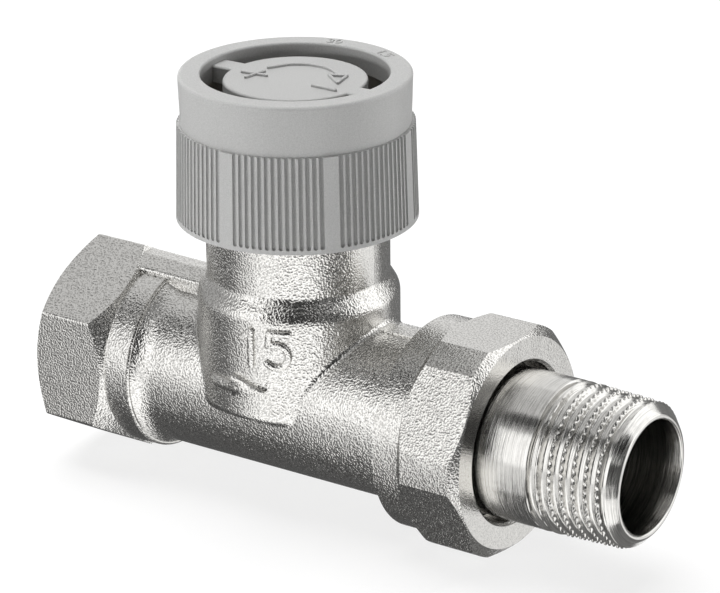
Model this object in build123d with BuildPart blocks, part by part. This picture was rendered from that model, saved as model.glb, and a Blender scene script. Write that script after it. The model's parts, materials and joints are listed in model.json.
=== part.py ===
from build123d import *
import os
from math import radians, sqrt, tan

# Straight thermostatic radiator valve, DN 15, with union nut and tailpiece.
# The pipe line runs along +X from the inlet's end face at x = 0, and the bonnet stands up along +Z.
# Threads are plain: a male one at its major radius, and its female one just outside that.

os.makedirs("parts", exist_ok=True)

# Clearances
THREAD_GAP = 0.08
RUNNING_GAP = 0.06
SEATED_GAP = 0.10
CONE_GAP = 0.12
FREE_GAP = 0.30

# Body along the pipe line
BODY_LENGTH = 66.0
BONNET_X = 37.8
HEX_FLATS = 27.0
HEX_LENGTH = 12.8
HEX_FACE_R = 11.9
HEX_FRONT_CHAMFER = 2.3
HEX_BACK_CHAMFER = 2.2
HEX_BACK_R = 13.0
HEX_EDGE_ROUND = 0.45
RING_GROOVE = 0.5
RING_LENGTH = 4.0
RING_R = 13.3
RING_STEP = 0.5
RING_EDGE_ROUND = 0.3
BARREL_R = 12.0
BARREL_BLEND = 3.0
UNION_THREAD_R = 13.22
UNION_THREAD_LENGTH = 6.4
UNION_THREAD_CHAMFER = 0.7

# Water way
INLET_THREAD_R = 9.3155
INLET_THREAD_LENGTH = 12.5
INLET_CHAMFER = 0.5
INLET_BORE_R = 8.6
INLET_BORE_END = 24.0
INLET_BLEND = 0.7
PASSAGE_R = 9.2
PASSAGE_PAST_SEAT = 6.4
SEAT_R = 5.5
SEAT_LIP_WIDTH = 0.8
SEAT_LIP_HEIGHT = 0.8
SEAT_Z = 2.0
SEAT_PLATE = 2.4
CHAMBER_R = 9.4
OUTLET_BORE_R = 8.0
PARTITION_WALL = 2.2
CONE_MOUTH_R = 10.9
CONE_SLOPE = 0.85

# Boss, neck and head thread
BOSS_R = 14.14
BOSS_BOTTOM_Z = -0.3
BOSS_TOP_Z = 15.27
BOSS_BOTTOM_ROUND = 1.0
BOSS_TOP_ROUND = 3.0
BOSS_BLEND = 0.9
NECK_R = 12.78
NECK_FOOT_Z = 17.52
NECK_FOOT_ROUND = 1.5
HEAD_THREAD_R = 15.0
HEAD_THREAD_BASE_Z = 27.0
HEAD_THREAD_LENGTH = 7.4
HEAD_THREAD_CHAMFER = 0.7
WEB_TOP_Z = 14.9
WEB_DROP = 0.5
WEB_HALF_TOP = 1.1
WEB_HALF_WIDTH = 3.4
WEB_SLOPE = 30.0
WEB_ROUND = 0.5
SEAM_TOP_Z = 12.2
SEAM_HALF_WIDTH = 1.3
NECK_BORE_R = 10.5
SEAL_BORE_R = 9.9
SEAL_BORE_LENGTH = 9.5

# Union nut
NUT_WALL = 1.7
NUT_LENGTH = 13.9
NUT_OVERLAP = 5.7
NUT_COLLAR_STEP = 0.1
NUT_COLLAR_LENGTH = 4.0
NUT_CORNER_RISE = 1.2
NUT_BACK_CHAMFER = 1.3
NUT_FRONT_CHAMFER = 1.0
NUT_FACE_STEP = 0.2
NUT_HOLE_R = 11.27
NUT_LIP = 4.25
NUT_EDGE = 0.4
NUT_CORNER_ROUND = 0.25

# Tailpiece
TAIL_REACH = 29.0
TAIL_COLLAR_R = 11.95
TAIL_COLLAR_LENGTH = 3.55
TAIL_NOSE = 2.4
TAIL_SHANK_R = 10.45
TAIL_THREAD_R = 10.35
TAIL_THREAD_LENGTH = 9.4
TAIL_CHAMFER_R = 8.6
TAIL_CHAMFER_TOP_R = 10.1
TAIL_CHAMFER = 1.8
TAIL_BORE_R = 7.91
TAIL_RELIEF = 0.8

# Spindle group, at rest in the open position
LIFT = 2.5
SEALING_DISC_R = 7.0
SEALING_DISC_THICKNESS = 2.4
DISC_HOLDER_WALL = 0.6
DISC_HOLDER_RIM = 1.4
DISC_WASHER_R = 4.0
DISC_WASHER_THICKNESS = 0.6
DISC_NUT_FLATS = 5.5
DISC_NUT_THICKNESS = 1.7
SPINDLE_R = 2.0
SPINDLE_STUD_R = 1.5
SPINDLE_END = 0.3
SPINDLE_TOP = 1.6
CLIP_THICKNESS = 0.5
CLIP_R = 2.9
CLIP_GROOVE_R = 1.55
CLIP_SLOT = 2.2
SPRING_PLATE_R = 5.6
SPRING_PLATE_THICKNESS = 0.8
PIN_R = 1.5
PIN_DOME = 0.4
PIN_STAND = 0.6

# Bonnet insert
HOUSING_HEX_FLATS = 22.0
HOUSING_HEX_HEIGHT = 2.2
HOUSING_HEX_CHAMFER = 0.5
HOUSING_THREAD_LENGTH = 11.0
HOUSING_DEPTH = 21.5
HOUSING_BORE_R = 6.2
HOUSING_WEB = 3.0
HOUSING_SEAL_LAND = 1.4
HOUSING_SEAL_WIDTH = 2.0
HOUSING_SEAL_SECTION = 0.78
BUSH_FLANGE_R = 7.2
BUSH_FLANGE = 0.8
BUSH_LENGTH = 2.6
SPRING_WIRE_R = 0.45
SPRING_COIL_R = 4.2
SPRING_TURNS = 4.5
SPRING_LENGTH = 7.2

# Gland
GLAND_R = 5.0
GLAND_DEPTH = 6.6
GLAND_HEX_FLATS = 10.0
GLAND_HEX_HEIGHT = 1.6
GLAND_TOP_WEB = 2.4
GLAND_CAVITY_R = 3.1
GLAND_SEAL_SECTION = 0.5
STEM_SEAL_SECTION = 0.74
GLAND_WASHER_THICKNESS = 0.8

# Protective cap
CAP_SKIRT_BOTTOM_Z = 25.86
CAP_SKIRT_TOP_Z = 39.35
CAP_TOP_Z = 46.4
CAP_SKIRT_WALL = 1.34
CAP_SKIRT_FLARE = 0.37
CAP_LEDGE = 0.57
CAP_COLLAR_FLARE = 0.23
CAP_COLLAR_WALL = 1.65
CAP_EDGE = 0.5
CAP_INNER_EDGE = 0.35
CAP_PLATE = 3.4
CAP_DISC_R = 9.94
CAP_DISC_DROP = 1.0
CAP_RIM = 3.1
CAP_BRIDGE = 3.3
CAP_THREAD_END_Z = 38.0
CAP_BORE_CHAMFER = 0.6
CAP_PRESS_R = 3.0
PAD_COUNT = 7
PAD_ANGLE = 6.4
PAD_FIRST_ANGLE = -37.7
GROOVES_PER_PAD = 14
GROOVE_DEPTH = 0.42
GROOVE_R = 0.34
GROOVE_LIP = 0.55

# Places that follow from the sizes above
HEX_CORNER_R = HEX_FLATS / sqrt(3)
RING_X = HEX_LENGTH + RING_GROOVE
RING_END_X = RING_X + RING_LENGTH
THREAD_X = BODY_LENGTH - UNION_THREAD_LENGTH
BARREL_RUN = THREAD_X - UNION_THREAD_CHAMFER - BONNET_X - BOSS_R
NUT_X = BODY_LENGTH - NUT_OVERLAP
NUT_END_X = NUT_X + NUT_LENGTH
NUT_BORE_R = UNION_THREAD_R + THREAD_GAP
NUT_FLATS = 2 * (NUT_BORE_R + NUT_WALL)
NUT_COLLAR_R = NUT_FLATS / 2 - NUT_COLLAR_STEP
NUT_CORNER_R = NUT_FLATS / 2 + NUT_CORNER_RISE
NUT_FACE_R = NUT_FLATS / 2 - NUT_FACE_STEP
NUT_SHOULDER_X = NUT_END_X - NUT_LIP
TAIL_END_X = BODY_LENGTH + TAIL_REACH
COLLAR_X = NUT_SHOULDER_X - RUNNING_GAP - TAIL_COLLAR_LENGTH
NOSE_X = BODY_LENGTH - TAIL_NOSE
CHAMBER_FLOOR_Z = SEAT_Z - SEAT_LIP_HEIGHT
PASSAGE_TOP_Z = CHAMBER_FLOOR_Z - SEAT_PLATE
PASSAGE_END_X = BONNET_X + PASSAGE_PAST_SEAT
OUTLET_BORE_X = PASSAGE_END_X + PARTITION_WALL
LIP_TOP_R = SEAT_R + SEAT_LIP_WIDTH
LIP_FOOT_R = LIP_TOP_R + SEAT_LIP_WIDTH / 2
RIM_Z = HEAD_THREAD_BASE_Z + HEAD_THREAD_LENGTH
HOUSING_TOP_Z = RIM_Z + HOUSING_HEX_HEIGHT
HOUSING_BOTTOM_Z = RIM_Z - HOUSING_DEPTH
HOUSING_THREAD_R = NECK_BORE_R - SEATED_GAP
HOUSING_SKIRT_R = SEAL_BORE_R - SEATED_GAP
HOUSING_THREAD_END_Z = RIM_Z - HOUSING_THREAD_LENGTH
SEAL_BORE_TOP_Z = HOUSING_THREAD_END_Z - SEATED_GAP
SEAL_BORE_BOTTOM_Z = SEAL_BORE_TOP_Z - SEAL_BORE_LENGTH
HOUSING_LAND_Z = SEAL_BORE_BOTTOM_Z + SEAL_BORE_R - CHAMBER_R
SEAL_GROOVE_Z = HOUSING_LAND_Z + HOUSING_SEAL_LAND
SEAL_GROOVE_R = HOUSING_SKIRT_R - 2 * HOUSING_SEAL_SECTION
GLAND_BOTTOM_Z = HOUSING_TOP_Z - GLAND_DEPTH
GLAND_TOP_Z = HOUSING_TOP_Z + GLAND_HEX_HEIGHT
GLAND_RECESS_Z = HOUSING_TOP_Z - 2 * GLAND_SEAL_SECTION - SEATED_GAP
GLAND_RECESS_R = GLAND_R + 2 * GLAND_SEAL_SECTION + SEATED_GAP
SPRING_CHAMBER_TOP_Z = GLAND_BOTTOM_Z - HOUSING_WEB
GLAND_CAVITY_TOP_Z = GLAND_TOP_Z - GLAND_TOP_WEB
DISC_Z = SEAT_Z + LIFT
DISC_TOP_Z = DISC_Z + SEALING_DISC_THICKNESS
HOLDER_TOP_Z = DISC_TOP_Z + DISC_HOLDER_WALL
WASHER_Z = DISC_Z - DISC_WASHER_THICKNESS
DISC_NUT_Z = WASHER_Z - DISC_NUT_THICKNESS
BUSH_Z = HOUSING_BOTTOM_Z - BUSH_FLANGE
BUSH_TOP_Z = HOUSING_BOTTOM_Z + BUSH_LENGTH
PLATE_Z = BUSH_TOP_Z + SPRING_LENGTH
PLATE_TOP_Z = PLATE_Z + SPRING_PLATE_THICKNESS
CLIP_TOP_Z = PLATE_TOP_Z + CLIP_THICKNESS
SPINDLE_TOP_Z = CLIP_TOP_Z + SPINDLE_TOP
CAP_CEILING_Z = CAP_TOP_Z - CAP_PLATE
CAP_DISC_Z = CAP_TOP_Z - CAP_DISC_DROP
PIN_TOP_Z = GLAND_TOP_Z + PIN_STAND + LIFT
CAP_THREAD_R = HEAD_THREAD_R + THREAD_GAP
CAP_SKIRT_TOP_R = CAP_THREAD_R + CAP_SKIRT_WALL
CAP_SKIRT_BOTTOM_R = CAP_SKIRT_TOP_R + CAP_SKIRT_FLARE
CAP_COLLAR_BOTTOM_R = CAP_SKIRT_TOP_R - CAP_LEDGE
CAP_COLLAR_TOP_R = CAP_COLLAR_BOTTOM_R + CAP_COLLAR_FLARE
CAP_UPPER_BORE_R = CAP_COLLAR_BOTTOM_R - CAP_COLLAR_WALL
CAP_WELL_R = CAP_COLLAR_TOP_R - CAP_RIM

BONNET_SECTION = Plane(origin=(BONNET_X, 0, 0), x_dir=(1, 0, 0), z_dir=(0, -1, 0))
BONNET_AXIS = Axis((BONNET_X, 0, 0), (0, 0, 1))


def bonnet_level(height):
    """A horizontal plane on the bonnet's axis."""
    return Plane(origin=(BONNET_X, 0, height), x_dir=(1, 0, 0), z_dir=(0, 0, 1))


def outline(plane, points):
    """The flat region inside a closed outline drawn on a plane."""
    with BuildSketch(plane) as region:
        with BuildLine():
            Polyline(*points, close=True)
        make_face()
    return region.sketch


def ring_section(radius, height, section):
    """The round section of a sealing ring, beside the bonnet's axis."""
    with BuildSketch(BONNET_SECTION) as region:
        with Locations((radius, height)):
            Circle(section)
    return region.sketch


# Valve body: hexagon end, ring, barrel, union thread, boss, neck, head thread and the water way
with BuildPart() as valve_body:
    with BuildSketch(Plane.YZ):
        RegularPolygon(HEX_FLATS / 2, 6, major_radius=False, rotation=30)
        fillet(vertices(), radius=HEX_EDGE_ROUND)
    extrude(amount=HEX_LENGTH)
    revolve(
        outline(
            Plane.XZ,
            [
                (0, 0),
                (0, HEX_FACE_R),
                (HEX_FRONT_CHAMFER, HEX_CORNER_R),
                (HEX_LENGTH - HEX_BACK_CHAMFER, HEX_CORNER_R),
                (HEX_LENGTH, HEX_BACK_R),
                (HEX_LENGTH, 0),
            ],
        ),
        axis=Axis.X,
        mode=Mode.INTERSECT,
    )
    with BuildSketch(Plane.XZ):
        with BuildLine():
            Polyline((HEX_LENGTH / 2, 0), (HEX_LENGTH / 2, HEX_BACK_R), (HEX_LENGTH, HEX_BACK_R))
            ThreePointArc(
                (HEX_LENGTH, HEX_BACK_R),
                (HEX_LENGTH + RING_GROOVE / 2, HEX_BACK_R),
                (RING_X, RING_R),
            )
            Line((RING_X, RING_R), (RING_END_X - RING_EDGE_ROUND, RING_R))
            RadiusArc(
                (RING_END_X - RING_EDGE_ROUND, RING_R),
                (RING_END_X, RING_R - RING_EDGE_ROUND),
                -RING_EDGE_ROUND,
            )
            Line((RING_END_X, RING_R - RING_EDGE_ROUND), (RING_END_X, RING_R - RING_STEP))
            TangentArc(
                (RING_END_X + BARREL_BLEND, BARREL_R),
                (RING_END_X, RING_R - RING_STEP),
                tangent=(-1, 0),
            )
            Polyline(
                (RING_END_X + BARREL_BLEND, BARREL_R),
                (THREAD_X - UNION_THREAD_CHAMFER, BARREL_R),
                (THREAD_X, UNION_THREAD_R),
                (BODY_LENGTH - UNION_THREAD_CHAMFER, UNION_THREAD_R),
                (BODY_LENGTH, UNION_THREAD_R - UNION_THREAD_CHAMFER),
                (BODY_LENGTH, 0),
                (HEX_LENGTH / 2, 0),
            )
        make_face()
    revolve(axis=Axis.X)

    # Boss, neck and head thread, and the forging's blend round them
    with BuildSketch(BONNET_SECTION):
        with BuildLine():
            Line((0, BOSS_BOTTOM_Z), (BOSS_R - BOSS_BOTTOM_ROUND, BOSS_BOTTOM_Z))
            RadiusArc(
                (BOSS_R - BOSS_BOTTOM_ROUND, BOSS_BOTTOM_Z),
                (BOSS_R, BOSS_BOTTOM_Z + BOSS_BOTTOM_ROUND),
                -BOSS_BOTTOM_ROUND,
            )
            FilletPolyline(
                (BOSS_R, BOSS_BOTTOM_Z + BOSS_BOTTOM_ROUND),
                (BOSS_R, BOSS_TOP_Z),
                (NECK_R, NECK_FOOT_Z),
                (NECK_R, HEAD_THREAD_BASE_Z - HEAD_THREAD_CHAMFER),
                radius=[BOSS_TOP_ROUND, NECK_FOOT_ROUND],
            )
            Polyline(
                (NECK_R, HEAD_THREAD_BASE_Z - HEAD_THREAD_CHAMFER),
                (HEAD_THREAD_R, HEAD_THREAD_BASE_Z),
                (HEAD_THREAD_R, RIM_Z - HEAD_THREAD_CHAMFER),
                (HEAD_THREAD_R - HEAD_THREAD_CHAMFER, RIM_Z),
                (0, RIM_Z),
                (0, BOSS_BOTTOM_Z),
            )
        make_face()
    revolve(axis=BONNET_AXIS)
    fillet(edges(Select.NEW), radius=min(BOSS_BLEND, BARREL_RUN / 2))

    # The forging's ridge on top, from the hexagon to the neck
    for place, top in ((HEX_LENGTH - HEX_BACK_CHAMFER, WEB_TOP_Z), (BONNET_X, WEB_TOP_Z - WEB_DROP)):
        shoulder = top - (WEB_HALF_WIDTH - WEB_HALF_TOP) * tan(radians(WEB_SLOPE))
        with BuildSketch(Plane.YZ.offset(place)):
            with BuildLine():
                FilletPolyline(
                    (-WEB_HALF_WIDTH, 0),
                    (-WEB_HALF_WIDTH, shoulder),
                    (-WEB_HALF_TOP, top),
                    (WEB_HALF_TOP, top),
                    (WEB_HALF_WIDTH, shoulder),
                    (WEB_HALF_WIDTH, 0),
                    radius=WEB_ROUND,
                )
                Line((-WEB_HALF_WIDTH, 0), (WEB_HALF_WIDTH, 0))
            make_face()
    loft()

    # The die seam's low ridge on top, from the boss to the union thread
    with BuildSketch(Plane.YZ.offset(BONNET_X)):
        Rectangle(2 * SEAM_HALF_WIDTH, SEAM_TOP_Z, align=(Align.CENTER, Align.MIN))
    extrude(amount=THREAD_X - UNION_THREAD_CHAMFER - BONNET_X)

    # Water way: threaded inlet, passage under the seat, chamber above it, outlet bore and its cone
    revolve(
        outline(
            Plane.XZ,
            [
                (0, 0),
                (0, INLET_THREAD_R + INLET_CHAMFER),
                (INLET_CHAMFER, INLET_THREAD_R),
                (INLET_CHAMFER + INLET_THREAD_LENGTH, INLET_THREAD_R),
                (INLET_CHAMFER + INLET_THREAD_LENGTH + INLET_BLEND, INLET_BORE_R),
                (INLET_BORE_END, INLET_BORE_R),
                (INLET_BORE_END, 0),
            ],
        ),
        axis=Axis.X,
        mode=Mode.SUBTRACT,
    )
    with BuildSketch(Plane.YZ.offset(INLET_BORE_END - INLET_BLEND)):
        Circle(PASSAGE_R)
        with Locations((0, PASSAGE_TOP_Z)):
            Rectangle(2 * PASSAGE_R, 2 * PASSAGE_R, align=(Align.CENTER, Align.MIN), mode=Mode.SUBTRACT)
    extrude(amount=PASSAGE_END_X - INLET_BORE_END + INLET_BLEND, mode=Mode.SUBTRACT)
    revolve(
        outline(
            BONNET_SECTION,
            [
                (0, PASSAGE_TOP_Z - SEAT_PLATE),
                (SEAT_R, PASSAGE_TOP_Z - SEAT_PLATE),
                (SEAT_R, SEAT_Z),
                (LIP_TOP_R, SEAT_Z),
                (LIP_FOOT_R, CHAMBER_FLOOR_Z),
                (CHAMBER_R, CHAMBER_FLOOR_Z),
                (CHAMBER_R, SEAL_BORE_BOTTOM_Z),
                (SEAL_BORE_R, HOUSING_LAND_Z),
                (SEAL_BORE_R, SEAL_BORE_TOP_Z),
                (NECK_BORE_R, SEAL_BORE_TOP_Z),
                (NECK_BORE_R, RIM_Z),
                (0, RIM_Z),
            ],
        ),
        axis=BONNET_AXIS,
        mode=Mode.SUBTRACT,
    )
    with BuildSketch(Plane.YZ.offset(BONNET_X + LIP_FOOT_R)):
        Circle(OUTLET_BORE_R)
        with Locations((0, CHAMBER_FLOOR_Z)):
            Rectangle(
                2 * OUTLET_BORE_R,
                2 * OUTLET_BORE_R,
                align=(Align.CENTER, Align.MAX),
                mode=Mode.SUBTRACT,
            )
    extrude(amount=OUTLET_BORE_X - BONNET_X - LIP_FOOT_R + INLET_BLEND, mode=Mode.SUBTRACT)
    revolve(
        outline(
            Plane.XZ,
            [
                (OUTLET_BORE_X, 0),
                (OUTLET_BORE_X, OUTLET_BORE_R),
                (BODY_LENGTH - (CONE_MOUTH_R - OUTLET_BORE_R) / CONE_SLOPE, OUTLET_BORE_R),
                (BODY_LENGTH, CONE_MOUTH_R),
                (BODY_LENGTH, 0),
            ],
        ),
        axis=Axis.X,
        mode=Mode.SUBTRACT,
    )
valve_body.part.label = "valve_body"
export_step(valve_body.part, "parts/valve_body.step")

# Union nut: turned collar, hexagon with turned corners, thread bore and the lip that draws the tail in
with BuildPart() as union_nut:
    with BuildSketch(Plane.YZ.offset(NUT_X)):
        RegularPolygon(NUT_FLATS / 2, 6, major_radius=False)
        fillet(vertices(), radius=NUT_CORNER_ROUND)
    extrude(amount=NUT_LENGTH)
    revolve(
        outline(
            Plane.XZ,
            [
                (NUT_X, 0),
                (NUT_X, NUT_COLLAR_R),
                (NUT_X + NUT_COLLAR_LENGTH, NUT_COLLAR_R),
                (NUT_X + NUT_COLLAR_LENGTH + NUT_BACK_CHAMFER, NUT_CORNER_R),
                (NUT_END_X - NUT_FRONT_CHAMFER, NUT_CORNER_R),
                (NUT_END_X, NUT_FACE_R),
                (NUT_END_X, 0),
            ],
        ),
        axis=Axis.X,
        mode=Mode.INTERSECT,
    )
    revolve(
        outline(
            Plane.XZ,
            [
                (NUT_X, 0),
                (NUT_X, NUT_BORE_R + NUT_EDGE),
                (NUT_X + NUT_EDGE, NUT_BORE_R),
                (NUT_SHOULDER_X, NUT_BORE_R),
                (NUT_SHOULDER_X, NUT_HOLE_R),
                (NUT_END_X - NUT_EDGE, NUT_HOLE_R),
                (NUT_END_X, NUT_HOLE_R + NUT_EDGE),
                (NUT_END_X, 0),
            ],
        ),
        axis=Axis.X,
        mode=Mode.SUBTRACT,
    )
union_nut.part.label = "union_nut"
export_step(union_nut.part, "parts/union_nut.step")

# Tailpiece: cone that seats in the body, collar under the nut's lip, shank and outer thread
with BuildPart() as tailpiece:
    revolve(
        outline(
            Plane.XZ,
            [
                (NOSE_X, TAIL_BORE_R),
                (NOSE_X, CONE_MOUTH_R - CONE_GAP - TAIL_NOSE * CONE_SLOPE),
                (BODY_LENGTH, CONE_MOUTH_R - CONE_GAP),
                (COLLAR_X, CONE_MOUTH_R - CONE_GAP),
                (COLLAR_X, TAIL_COLLAR_R),
                (COLLAR_X + TAIL_COLLAR_LENGTH, TAIL_COLLAR_R),
                (COLLAR_X + TAIL_COLLAR_LENGTH, TAIL_SHANK_R),
                (TAIL_END_X - TAIL_CHAMFER - TAIL_THREAD_LENGTH - TAIL_RELIEF, TAIL_SHANK_R),
                (TAIL_END_X - TAIL_CHAMFER - TAIL_THREAD_LENGTH, TAIL_THREAD_R),
                (TAIL_END_X - TAIL_CHAMFER, TAIL_THREAD_R),
                (TAIL_END_X - TAIL_CHAMFER, TAIL_CHAMFER_TOP_R),
                (TAIL_END_X, TAIL_CHAMFER_R),
                (TAIL_END_X, TAIL_BORE_R),
            ],
        ),
        axis=Axis.X,
    )
tailpiece.part.label = "tailpiece"
export_step(tailpiece.part, "parts/tailpiece.step")

# Insert housing: hexagon head on the rim, thread, seal groove, gland bore and spring chamber
with BuildPart() as insert_housing:
    with BuildSketch(bonnet_level(RIM_Z)):
        RegularPolygon(HOUSING_HEX_FLATS / 2, 6, major_radius=False)
    extrude(amount=HOUSING_HEX_HEIGHT)
    revolve(
        outline(
            BONNET_SECTION,
            [
                (0, RIM_Z),
                (HOUSING_HEX_FLATS / sqrt(3), RIM_Z),
                (HOUSING_HEX_FLATS / sqrt(3), HOUSING_TOP_Z - HOUSING_HEX_CHAMFER),
                (HOUSING_HEX_FLATS / 2 - HOUSING_HEX_CHAMFER / 2, HOUSING_TOP_Z),
                (0, HOUSING_TOP_Z),
            ],
        ),
        axis=BONNET_AXIS,
        mode=Mode.INTERSECT,
    )
    revolve(
        outline(
            BONNET_SECTION,
            [
                (0, RIM_Z),
                (HOUSING_THREAD_R, RIM_Z),
                (HOUSING_THREAD_R, HOUSING_THREAD_END_Z),
                (HOUSING_SKIRT_R, HOUSING_THREAD_END_Z),
                (HOUSING_SKIRT_R, SEAL_GROOVE_Z + HOUSING_SEAL_WIDTH),
                (SEAL_GROOVE_R, SEAL_GROOVE_Z + HOUSING_SEAL_WIDTH),
                (SEAL_GROOVE_R, SEAL_GROOVE_Z),
                (HOUSING_SKIRT_R, SEAL_GROOVE_Z),
                (HOUSING_SKIRT_R, HOUSING_LAND_Z),
                (BUSH_FLANGE_R, HOUSING_BOTTOM_Z),
                (0, HOUSING_BOTTOM_Z),
            ],
        ),
        axis=BONNET_AXIS,
    )
    revolve(
        outline(
            BONNET_SECTION,
            [
                (0, HOUSING_BOTTOM_Z),
                (HOUSING_BORE_R, HOUSING_BOTTOM_Z),
                (HOUSING_BORE_R, SPRING_CHAMBER_TOP_Z),
                (PIN_R + FREE_GAP, SPRING_CHAMBER_TOP_Z),
                (PIN_R + FREE_GAP, GLAND_BOTTOM_Z),
                (GLAND_R + SEATED_GAP, GLAND_BOTTOM_Z),
                (GLAND_R + SEATED_GAP, GLAND_RECESS_Z),
                (GLAND_RECESS_R, GLAND_RECESS_Z),
                (GLAND_RECESS_R, HOUSING_TOP_Z),
                (0, HOUSING_TOP_Z),
            ],
        ),
        axis=BONNET_AXIS,
        mode=Mode.SUBTRACT,
    )
insert_housing.part.label = "insert_housing"
export_step(insert_housing.part, "parts/insert_housing.step")

# Ring that seals the housing in the neck, round its groove
with BuildPart() as housing_seal_ring:
    revolve(
        ring_section(
            HOUSING_SKIRT_R - HOUSING_SEAL_SECTION + SEATED_GAP / 2,
            SEAL_GROOVE_Z + HOUSING_SEAL_WIDTH / 2,
            HOUSING_SEAL_SECTION,
        ),
        axis=BONNET_AXIS,
    )
housing_seal_ring.part.label = "housing_seal_ring"
export_step(housing_seal_ring.part, "parts/housing_seal_ring.step")

# Gland nut: hexagon head, threaded barrel and the cavity for the pin's seals
with BuildPart() as gland_nut:
    with BuildSketch(bonnet_level(HOUSING_TOP_Z)):
        RegularPolygon(GLAND_HEX_FLATS / 2, 6, major_radius=False)
    extrude(amount=GLAND_HEX_HEIGHT)
    with BuildSketch(bonnet_level(GLAND_BOTTOM_Z)):
        Circle(GLAND_R)
    extrude(amount=GLAND_DEPTH)
    with BuildSketch(bonnet_level(GLAND_BOTTOM_Z)):
        Circle(GLAND_CAVITY_R)
    extrude(amount=GLAND_CAVITY_TOP_Z - GLAND_BOTTOM_Z, mode=Mode.SUBTRACT)
    with BuildSketch(bonnet_level(GLAND_CAVITY_TOP_Z)):
        Circle(PIN_R + RUNNING_GAP)
    extrude(amount=GLAND_TOP_WEB, mode=Mode.SUBTRACT)
gland_nut.part.label = "gland_nut"
export_step(gland_nut.part, "parts/gland_nut.step")

# Ring that seals the gland nut, under its hexagon
with BuildPart() as gland_seal_ring:
    revolve(
        ring_section(
            GLAND_R + GLAND_SEAL_SECTION + SEATED_GAP / 2,
            HOUSING_TOP_Z - GLAND_SEAL_SECTION - SEATED_GAP / 2,
            GLAND_SEAL_SECTION,
        ),
        axis=BONNET_AXIS,
    )
gland_seal_ring.part.label = "gland_seal_ring"
export_step(gland_seal_ring.part, "parts/gland_seal_ring.step")

# The pin's two seals, one above the other in the gland
STEM_SEAL_R = (GLAND_CAVITY_R + PIN_R + RUNNING_GAP) / 2
UPPER_SEAL_Z = GLAND_CAVITY_TOP_Z - STEM_SEAL_SECTION - RUNNING_GAP
LOWER_SEAL_Z = UPPER_SEAL_Z - 2 * STEM_SEAL_SECTION - RUNNING_GAP
with BuildPart() as stem_seal_ring_upper:
    revolve(ring_section(STEM_SEAL_R, UPPER_SEAL_Z, STEM_SEAL_SECTION), axis=BONNET_AXIS)
stem_seal_ring_upper.part.label = "stem_seal_ring_upper"
export_step(stem_seal_ring_upper.part, "parts/stem_seal_ring_upper.step")

with BuildPart() as stem_seal_ring_lower:
    revolve(ring_section(STEM_SEAL_R, LOWER_SEAL_Z, STEM_SEAL_SECTION), axis=BONNET_AXIS)
stem_seal_ring_lower.part.label = "stem_seal_ring_lower"
export_step(stem_seal_ring_lower.part, "parts/stem_seal_ring_lower.step")

# Back-up washer under the lower seal
WASHER_TOP_Z = LOWER_SEAL_Z - STEM_SEAL_SECTION - RUNNING_GAP
with BuildPart() as gland_washer:
    with BuildSketch(bonnet_level(WASHER_TOP_Z - GLAND_WASHER_THICKNESS)):
        Circle(GLAND_CAVITY_R - RUNNING_GAP)
        Circle(PIN_R + RUNNING_GAP, mode=Mode.SUBTRACT)
    extrude(amount=GLAND_WASHER_THICKNESS)
gland_washer.part.label = "gland_washer"
export_step(gland_washer.part, "parts/gland_washer.step")

# Guide bush: screwed into the bottom of the housing, it guides the spindle and carries the spring
with BuildPart() as guide_bush:
    revolve(
        outline(
            BONNET_SECTION,
            [
                (SPINDLE_R + RUNNING_GAP, BUSH_Z),
                (BUSH_FLANGE_R, BUSH_Z),
                (BUSH_FLANGE_R, HOUSING_BOTTOM_Z),
                (HOUSING_BORE_R - SEATED_GAP, HOUSING_BOTTOM_Z),
                (HOUSING_BORE_R - SEATED_GAP, BUSH_TOP_Z),
                (SPINDLE_R + RUNNING_GAP, BUSH_TOP_Z),
            ],
        ),
        axis=BONNET_AXIS,
    )
guide_bush.part.label = "guide_bush"
export_step(guide_bush.part, "parts/guide_bush.step")

# Return spring: round wire between the bush and the spring plate
SPRING_RISE = SPRING_LENGTH - 2 * SPRING_WIRE_R - 2 * RUNNING_GAP
with BuildPart() as return_spring:
    with BuildLine(bonnet_level(BUSH_TOP_Z + SPRING_WIRE_R + RUNNING_GAP)) as coil:
        Helix(pitch=SPRING_RISE / SPRING_TURNS, height=SPRING_RISE, radius=SPRING_COIL_R)
    with BuildSketch(Plane(origin=coil.line @ 0, z_dir=coil.line % 0)):
        Circle(SPRING_WIRE_R)
    sweep(path=coil.line, is_frenet=True)
return_spring.part.label = "return_spring"
export_step(return_spring.part, "parts/return_spring.step")

# Spring plate: the spring lifts it against the clip
with BuildPart() as spring_plate:
    with BuildSketch(bonnet_level(PLATE_Z)):
        Circle(SPRING_PLATE_R)
        Circle(SPINDLE_R + RUNNING_GAP / 2, mode=Mode.SUBTRACT)
    extrude(amount=SPRING_PLATE_THICKNESS)
spring_plate.part.label = "spring_plate"
export_step(spring_plate.part, "parts/spring_plate.step")

# Retaining clip: open ring in the spindle's groove
with BuildPart() as spindle_clip:
    with BuildSketch(bonnet_level(PLATE_TOP_Z)):
        Circle(CLIP_R)
        Circle(CLIP_GROOVE_R + RUNNING_GAP / 2, mode=Mode.SUBTRACT)
        Rectangle(2 * CLIP_R, CLIP_SLOT, align=(Align.MIN, Align.CENTER), mode=Mode.SUBTRACT)
    extrude(amount=CLIP_THICKNESS)
spindle_clip.part.label = "spindle_clip"
export_step(spindle_clip.part, "parts/spindle_clip.step")

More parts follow.
